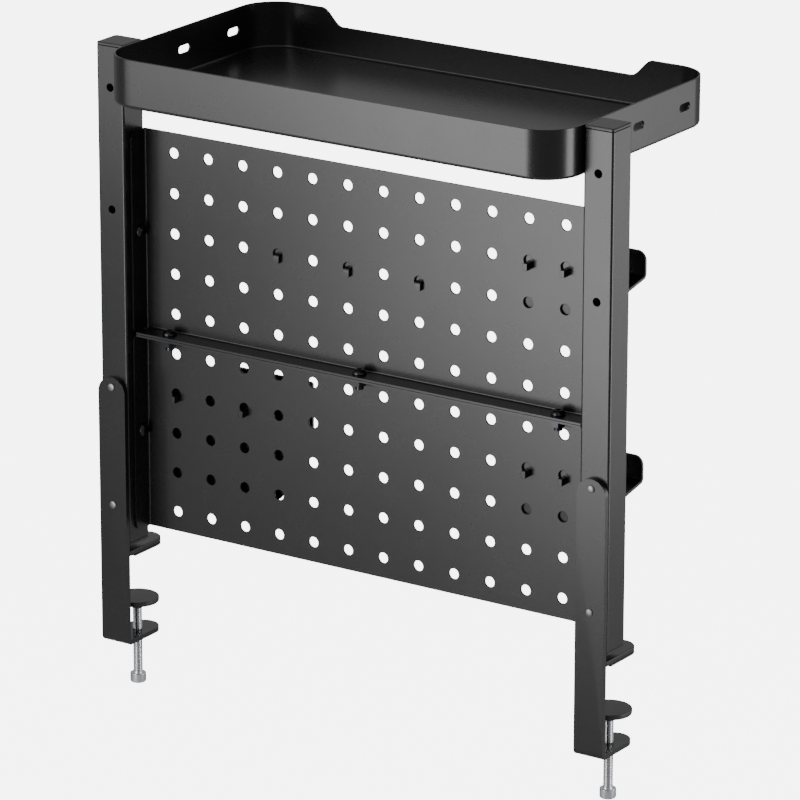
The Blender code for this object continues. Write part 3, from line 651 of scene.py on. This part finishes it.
def dome_screw(node, axis, seat, radius, head_r, head_h, length):
    """Button head screw with a hexagon socket; its shank leaves the seat against the axis."""
    bm = bmesh.new()
    dome = [(head_r * math.cos(math.radians(a)), head_h * math.sin(math.radians(a))) for a in range(8, 62, 6)]
    top = dome[-1][1]
    turned(bm, [(0, -length), (radius, -length), (radius, 0), (head_r * 0.97, 0)] + dome + [(0, top)], 40)
    screw = link(f"{node}_steel", bm)
    socket = bmesh.new()
    hexagon = [(head_r * 0.36 * math.cos(math.radians(a)), head_r * 0.36 * math.sin(math.radians(a)))
               for a in range(0, 360, 60)]
    prism(socket, hexagon, "Z", top - head_h * 0.6, top + 1 * MM)
    combine(screw, socket)
    screw.data.transform(pointing(axis, seat))
    dressed(screw, "frame", OXIDE, [node], smooth=28)


def make_fasteners():
    stack = SHEET + SPLIT_GAP / 2
    for place, x in zip(("left", "middle", "right"), flange_screws_x()):
        seat = SPLIT_Z + stack + SCREW_SEAT
        dome_screw(f"flange_screw_{place}", "+Z", (x, FLANGE_SCREW_Y, seat), *FLANGE_SCREW)
        node = f"flange_nut_{place}"
        low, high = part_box(node)
        bm = bmesh.new()
        outer = [(NUT_R * math.cos(math.radians(a)), NUT_R * math.sin(math.radians(a)))
                 for a in range(0, 360, 60)]
        prism(bm, outer, "Z", low.z, high.z + 0.2 * MM)
        nut = link(f"{node}_steel", bm)
        round_off = bmesh.new()
        under, over = low.z - 1 * MM, high.z + 1 * MM
        turned(round_off, [(0, under), (3.4 * MM, under), (4.1 * MM, low.z), (4.65 * MM, low.z + 0.5 * MM),
                           (4.65 * MM, high.z - 0.3 * MM), (4.1 * MM, high.z + 0.2 * MM), (3.4 * MM, over),
                           (0, over)], 48)
        combine(nut, round_off, "INTERSECT")
        bore = bmesh.new()
        turned(bore, [(0, under), (2.6 * MM, under), (2.6 * MM, over), (0, over)], 32)
        combine(nut, bore)
        nut.data.transform(Matrix.Translation((x, FLANGE_SCREW_Y, 0)))
        dressed(nut, "frame", OXIDE, [node], smooth=25)
    seat = PANEL_W / 2 - SHEET - SCREW_SEAT
    for side, sign in SIDES:
        axis = outwards(-sign)
        for place, row in zip(("upper", "lower"), SIDE_SCREW_ROWS):
            dome_screw(f"side_screw_{side}_{place}", axis, (sign * seat, SIDE_SCREW_Y, row_z(row)),
                       *SIDE_SCREW)
        for place, y in zip(("near", "far"), TRAY_SCREWS_Y):
            dome_screw(f"tray_screw_{side}_{place}", axis, (sign * seat, y, TRAY_SCREW_Z), *TRAY_SCREW)


# ---------------------------------------------------------------- tray


def tray_stations():
    """Points round the tray's outline with their outward directions and the height of the wall there."""
    half, (y0, y1), top = TRAY_W / 2, TRAY_Y, TRAY_Z[1]
    steps = 16
    stations = []
    corners = (((half - TRAY_R, y0 + TRAY_R), -90), ((half - TRAY_R, y1 - TRAY_R), 0),
               ((-half + TRAY_R, y1 - TRAY_R), 90), ((-half + TRAY_R, y0 + TRAY_R), 180))
    for index, ((cx, cy), start) in enumerate(corners):
        for step in range(steps + 1):
            angle = math.radians(start + 90 * step / steps)
            normal = Vector((math.cos(angle), math.sin(angle)))
            stations.append((Vector((cx, cy)) + normal * TRAY_R, normal, top))
        if index == 1:
            slope = [(LIP_HIGH + (LIP_LOW - LIP_HIGH) * i / 14, top + (LIP_Z - top) * ease(i / 14))
                     for i in range(15)]
            profile = slope + [(0, LIP_Z)] + [(-x, z) for x, z in reversed(slope)]
            stations += [(Vector((x, y1)), Vector((0, 1)), z) for x, z in profile]
    return stations


def ease(t):
    """A slope with rounded ends and a straight middle."""
    return t * t * (3 - 2 * t) * 0.6 + (1 - math.cos(math.pi * t)) * 0.2


def make_tray():
    """One sheet: floor, round bend, walls with a rolled top edge, slots and screw holes."""
    z0 = TRAY_Z[0]
    inside, outside = 1.3 * MM, 2.5 * MM
    quarter = [math.radians(a) for a in (0, 18, 36, 54, 72, 90)]
    loops = [(SHEET + inside - inside * math.sin(a), z0 + SHEET + inside - inside * math.cos(a), 0)
             for a in quarter]
    loops += [(SHEET, -0.35 * MM, 1), (SHEET - 0.12 * MM, -0.12 * MM, 1), (SHEET - 0.38 * MM, 0, 1),
              (0.38 * MM, 0, 1), (0.12 * MM, -0.12 * MM, 1), (0, -0.35 * MM, 1)]
    loops += [(outside - outside * math.cos(a), z0 + outside - outside * math.sin(a), 0) for a in quarter]
    stations = tray_stations()
    bm = bmesh.new()
    rings = []
    for inset, z, from_top in loops:
        rings.append([bm.verts.new((*(p - n * inset), (top + z) if from_top else z))
                      for p, n, top in stations])
    for ring, after in zip(rings, rings[1:]):
        for i in range(len(ring)):
            j = (i + 1) % len(ring)
            bm.faces.new((ring[i], ring[j], after[j], after[i]))
    bm.faces.new(rings[0])
    bm.faces.new(rings[-1])
    tray = link("tray_sheet", bm)
    cuts = bmesh.new()
    half = TRAY_W / 2
    for _, sign in SIDES:
        for y in SLOTS_Y:
            low, high = (y - SLOT_L / 2, SLOT_Z - SLOT_H / 2), (y + SLOT_L / 2, SLOT_Z + SLOT_H / 2)
            outline = rounded_rectangle(low, high, SLOT_H / 2 - 0.01 * MM, 12)
            prism(cuts, outline, "X", *(sign * (half - SHEET + past * MM) for past in (-2, 3)))
        for y in TRAY_SCREWS_Y:
            through(cuts, TRAY_HOLE_R, outwards(sign), (sign * (half - SHEET), y, TRAY_SCREW_Z), SHEET, 24)
    combine(tray, cuts)
    dressed(tray, "frame", PAINT, ["tray"], smooth=35)


# ---------------------------------------------------------------- hang-on parts


def add_strip_tab(obj, x, z):
    """A tab bent from the strip: through the peg hole, then down in front of the sheet, with a round tip."""
    left, right = (x + across for across in STRIP_TAB["across"])
    low, top = (z + height for height in STRIP_TAB["neck"])
    tip, front = z + STRIP_TAB["tip"], PANEL_BACK - SHEET - STRIP_TAB["reach"] + STEEL / 2
    middle = (low + top) / 2
    path = [(PLATE_Y + STEEL / 2, middle), (front, middle), (front, tip)]
    bm = bmesh.new()
    prism(bm, bent(path, 1.1 * MM, STEEL), "X", left, right)
    strip = link("strip", bm)
    round_corners(strip, left, right, tip, -1.6 * MM, PANEL_BACK - 8 * MM, PANEL_BACK - SHEET)
    bm = bmesh.new()
    bm.from_mesh(strip.data)
    bpy.data.objects.remove(strip, do_unlink=True)
    combine(obj, bm, "UNION")


def add_lugs(obj, columns, z, standoff=0):
    """Plate lugs: square-cut, each with a slot that takes the sheet's edge."""
    root = PLATE_Y + standoff + STEEL / 2
    low, top = (z + height for height in LUG["neck"])
    front, tip = PANEL_BACK - SHEET - LUG["reach"], z + LUG["tip"]
    slot = PANEL_BACK - SHEET - 0.5 * MM
    bm = bmesh.new()
    for column in columns:
        left, right = (column_x(column) + across for across in LUG["across"])
        outline = [(root, low), (root, top), (front, top), (front, tip), (slot, tip), (slot, low)]
        prism(bm, outline, "X", left, right)
    combine(obj, bm, "UNION")


def round_corners(obj, left, right, edge, radius, near, far):
    """Rounds a sheet's two corners along an edge: its top, or its bottom if the radius is negative."""
    size = abs(radius)
    up = math.copysign(1, radius)
    past = 2 * MM
    bm = bmesh.new()
    for side, x in ((-1, left), (1, right)):
        centre = (x - side * size, edge - up * size)
        curve = [(centre[0] + side * size * math.sin(a), centre[1] + up * size * math.cos(a))
                 for a in (math.radians(90 * i / 12) for i in range(13))]
        outline = curve + [(x + side * past, centre[1]), (x + side * past, edge + up * past),
                           (centre[0], edge + up * past)]
        prism(bm, outline, "Y", near, far)
    combine(obj, bm)


def make_hook(index, column):
    """Single hook: a strip bent into an upturned arm, on one tab."""
    x, z = column_x(column), row_z(HOOK_ROW)
    back, reach = PLATE_Y + STEEL / 2, PLATE_Y + HOOK_REACH
    left, right = x - HOOK_W / 2, x + HOOK_W / 2
    top, tip = z + HOOK_TOP, z + HOOK_TIP
    bm = bmesh.new()
    path = [(back, top), (back, z + HOOK_BEND), (reach, z + HOOK_ELBOW), (reach, tip)]
    prism(bm, bent(path, HOOK_BEND_R, STEEL), "X", left, right)
    hook = link(f"hook_{index}_steel", bm)
    round_corners(hook, left, right, top, HOOK_CORNER, PLATE_Y - 2 * MM, PLATE_Y + 8 * MM)
    round_corners(hook, left, right, tip, HOOK_CORNER, reach - 4 * MM, reach + 4 * MM)
    add_strip_tab(hook, x, z)
    dressed(hook, f"hook_{index}", PAINT, [f"hook_{index}"], smooth=35, edge=0.3 * MM)


def make_holder(place, row):
    """Wide holder: back plate, rising arm and a lip with round corners."""
    x = (column_x(HOLDER_COLUMNS[0]) + column_x(HOLDER_COLUMNS[1])) / 2
    z = row_z(row)
    left, right = x - HOLDER_W / 2, x + HOLDER_W / 2
    back, end = PLATE_Y + STEEL / 2, HOLDER_END_Y
    top, lip_top = z + HOLDER_TOP, z + HOLDER_LIP
    path = [(back, top), (back, z + HOLDER_BEND), (end, z + HOLDER_ELBOW), (end, lip_top)]
    bm = bmesh.new()
    prism(bm, bent(path, BEND_R, STEEL), "X", left, right)
    holder = link(f"tool_holder_{place}_steel", bm)
    round_corners(holder, left, right, top, HOLDER_CORNER, PLATE_Y - 5 * MM, PLATE_Y + 10 * MM)
    round_corners(holder, left, right, lip_top, HOLDER_CORNER, end - 8 * MM, end + 8 * MM)
    add_lugs(holder, HOLDER_COLUMNS, z)
    node = f"tool_holder_{place}"
    dressed(holder, node, PAINT, [node], smooth=35, edge=0.3 * MM)


def make_trough():
    """Wide trough: a plate that stands off the sheet, a flat floor and a front wall that steps down."""
    x = (column_x(TROUGH_COLUMNS[0]) + column_x(TROUGH_COLUMNS[1])) / 2
    z, half, plate_half = row_z(TROUGH_ROW), TROUGH_W / 2, TROUGH_PLATE_W / 2
    back, wall = PLATE_Y + TROUGH_STANDOFF, TROUGH_WALL_Y
    floor, top, low = z + TROUGH_FLOOR, z + TROUGH_WALL, z + TROUGH_WALL_LOW
    path = [(back + STEEL / 2, floor), (wall, floor), (wall, top)]
    bm = bmesh.new()
    prism(bm, bent(path, BEND_R, STEEL), "X", x - half, x + half)
    trough = link("tool_trough_steel", bm)
    round_corners(trough, x - half, x + half, top, TROUGH_WALL_CORNER, wall - 8 * MM, wall + 8 * MM)
    step, above, beyond = x + TROUGH_STEP_X, top + 0.6 * MM, x - half - 2 * MM
    outline = [(beyond, low), (step - 7 * MM, low), (step - 5.4 * MM, low + 0.4 * MM),
               (step - 4.2 * MM, low + 1.5 * MM), (step + 3.6 * MM, above), (beyond, above)]
    cut = bmesh.new()
    prism(cut, outline, "Y", wall - 8 * MM, wall + 8 * MM)
    combine(trough, cut)
    outline = rounded_rectangle((x - plate_half, z + TROUGH_BOTTOM), (x + plate_half, z + TROUGH_TOP),
                                TROUGH_CORNER, 12)
    plate = bmesh.new()
    prism(plate, outline, "Y", back, back + STEEL)
    combine(trough, plate, "UNION")
    add_lugs(trough, TROUGH_COLUMNS, z, TROUGH_STANDOFF)
    dressed(trough, "tool_trough", PAINT, ["tool_trough"], smooth=35, edge=0.35 * MM)


# ---------------------------------------------------------------- stage, light and camera


def make_world():
    """Even studio surroundings, plain white where the camera sees them."""
    world = bpy.data.worlds.new("studio")
    bpy.context.scene.world = world
    world.use_nodes = True
    tree = world.node_tree
    tree.nodes.clear()
    rays = tree.nodes.new("ShaderNodeLightPath")
    seen = tree.nodes.new("ShaderNodeBackground")
    seen.inputs["Color"].default_value = (1, 1, 1, 1)
    seen.inputs["Strength"].default_value = WHITE
    around = tree.nodes.new("ShaderNodeBackground")
    around.inputs["Color"].default_value = (1, 1, 1, 1)
    around.inputs["Strength"].default_value = SURROUNDINGS
    mix = tree.nodes.new("ShaderNodeMixShader")
    output = tree.nodes.new("ShaderNodeOutputWorld")
    tree.links.new(rays.outputs["Is Camera Ray"], mix.inputs["Fac"])
    tree.links.new(around.outputs["Background"], mix.inputs[1])
    tree.links.new(seen.outputs["Background"], mix.inputs[2])
    tree.links.new(mix.outputs["Shader"], output.inputs["Surface"])


def make_floor():
    """Pale floor below the object."""
    bm = bmesh.new()
    box(bm, (-14, -14, -0.32), (14, 14, -0.30))
    floor = link("floor", bm)
    made, tree, shader = shader_nodes("pale_floor")
    shader.inputs["Base Color"].default_value = (0.5, 0.5, 0.5, 1)
    shader.inputs["Roughness"].default_value = 0.9
    shader.inputs["Specular IOR Level"].default_value = 0.1
    shader.inputs["Emission Color"].default_value = (1, 1, 1, 1)
    rays = tree.nodes.new("ShaderNodeLightPath")
    lift = tree.nodes.new("ShaderNodeMath")
    lift.operation = "MULTIPLY"
    lift.inputs[1].default_value = WHITE
    tree.links.new(rays.outputs["Is Camera Ray"], lift.inputs[0])
    tree.links.new(lift.outputs["Value"], shader.inputs["Emission Strength"])
    floor.data.materials.append(made)


def softbox(name, at, towards, size, power):
    light = bpy.data.lights.new(name, "AREA")
    light.shape = "RECTANGLE"
    light.size, light.size_y = size
    light.energy = power
    obj = bpy.data.objects.new(name, light)
    obj.location = at
    obj.rotation_euler = (Vector(towards) - Vector(at)).to_track_quat("-Z", "Y").to_euler()
    obj.visible_camera = False
    bpy.context.scene.collection.objects.link(obj)


def make_camera():
    azimuth, elevation = math.radians(CAMERA_AZIMUTH), math.radians(CAMERA_ELEVATION)
    turn = (Matrix.Rotation(azimuth, 4, "Z") @ Matrix.Rotation(math.pi / 2 - elevation, 4, "X")
            @ Matrix.Rotation(math.radians(CAMERA_ROLL), 4, "Z"))
    data = bpy.data.cameras.new("camera")
    data.sensor_width = 36
    data.lens = CAMERA_LENS
    camera = bpy.data.objects.new("camera", data)
    camera.matrix_world = Matrix.Translation(CAMERA_AT) @ turn
    bpy.context.scene.collection.objects.link(camera)
    bpy.context.scene.camera = camera


for side, sign in SIDES:
    make_post(side, sign)
    make_cap(f"post_cap_top_{side}", sign * POST_X, CAP_TOP, -1)
    make_cap(f"post_cap_bottom_{side}", sign * POST_X, CAP_BOTTOM, 1)
    make_clamp_bar(side, sign)
    make_rivets(side, sign)
    make_foot(side, sign)
    make_clamp_screw(side, sign)
    make_pressure_pad(side, sign)
make_panel("panel_upper", SPLIT_Z + SPLIT_GAP / 2, PANEL_TOP, 1)
make_panel("panel_lower", PANEL_BOTTOM, SPLIT_Z - SPLIT_GAP / 2, -1)
make_fasteners()
make_tray()
for index, column in enumerate(HOOK_COLUMNS, 1):
    make_hook(index, column)
for place, row in HOLDER_ROWS:
    make_holder(place, row)
make_trough()

make_world()
make_floor()
for light in SOFTBOXES:
    softbox(*light)
make_camera()
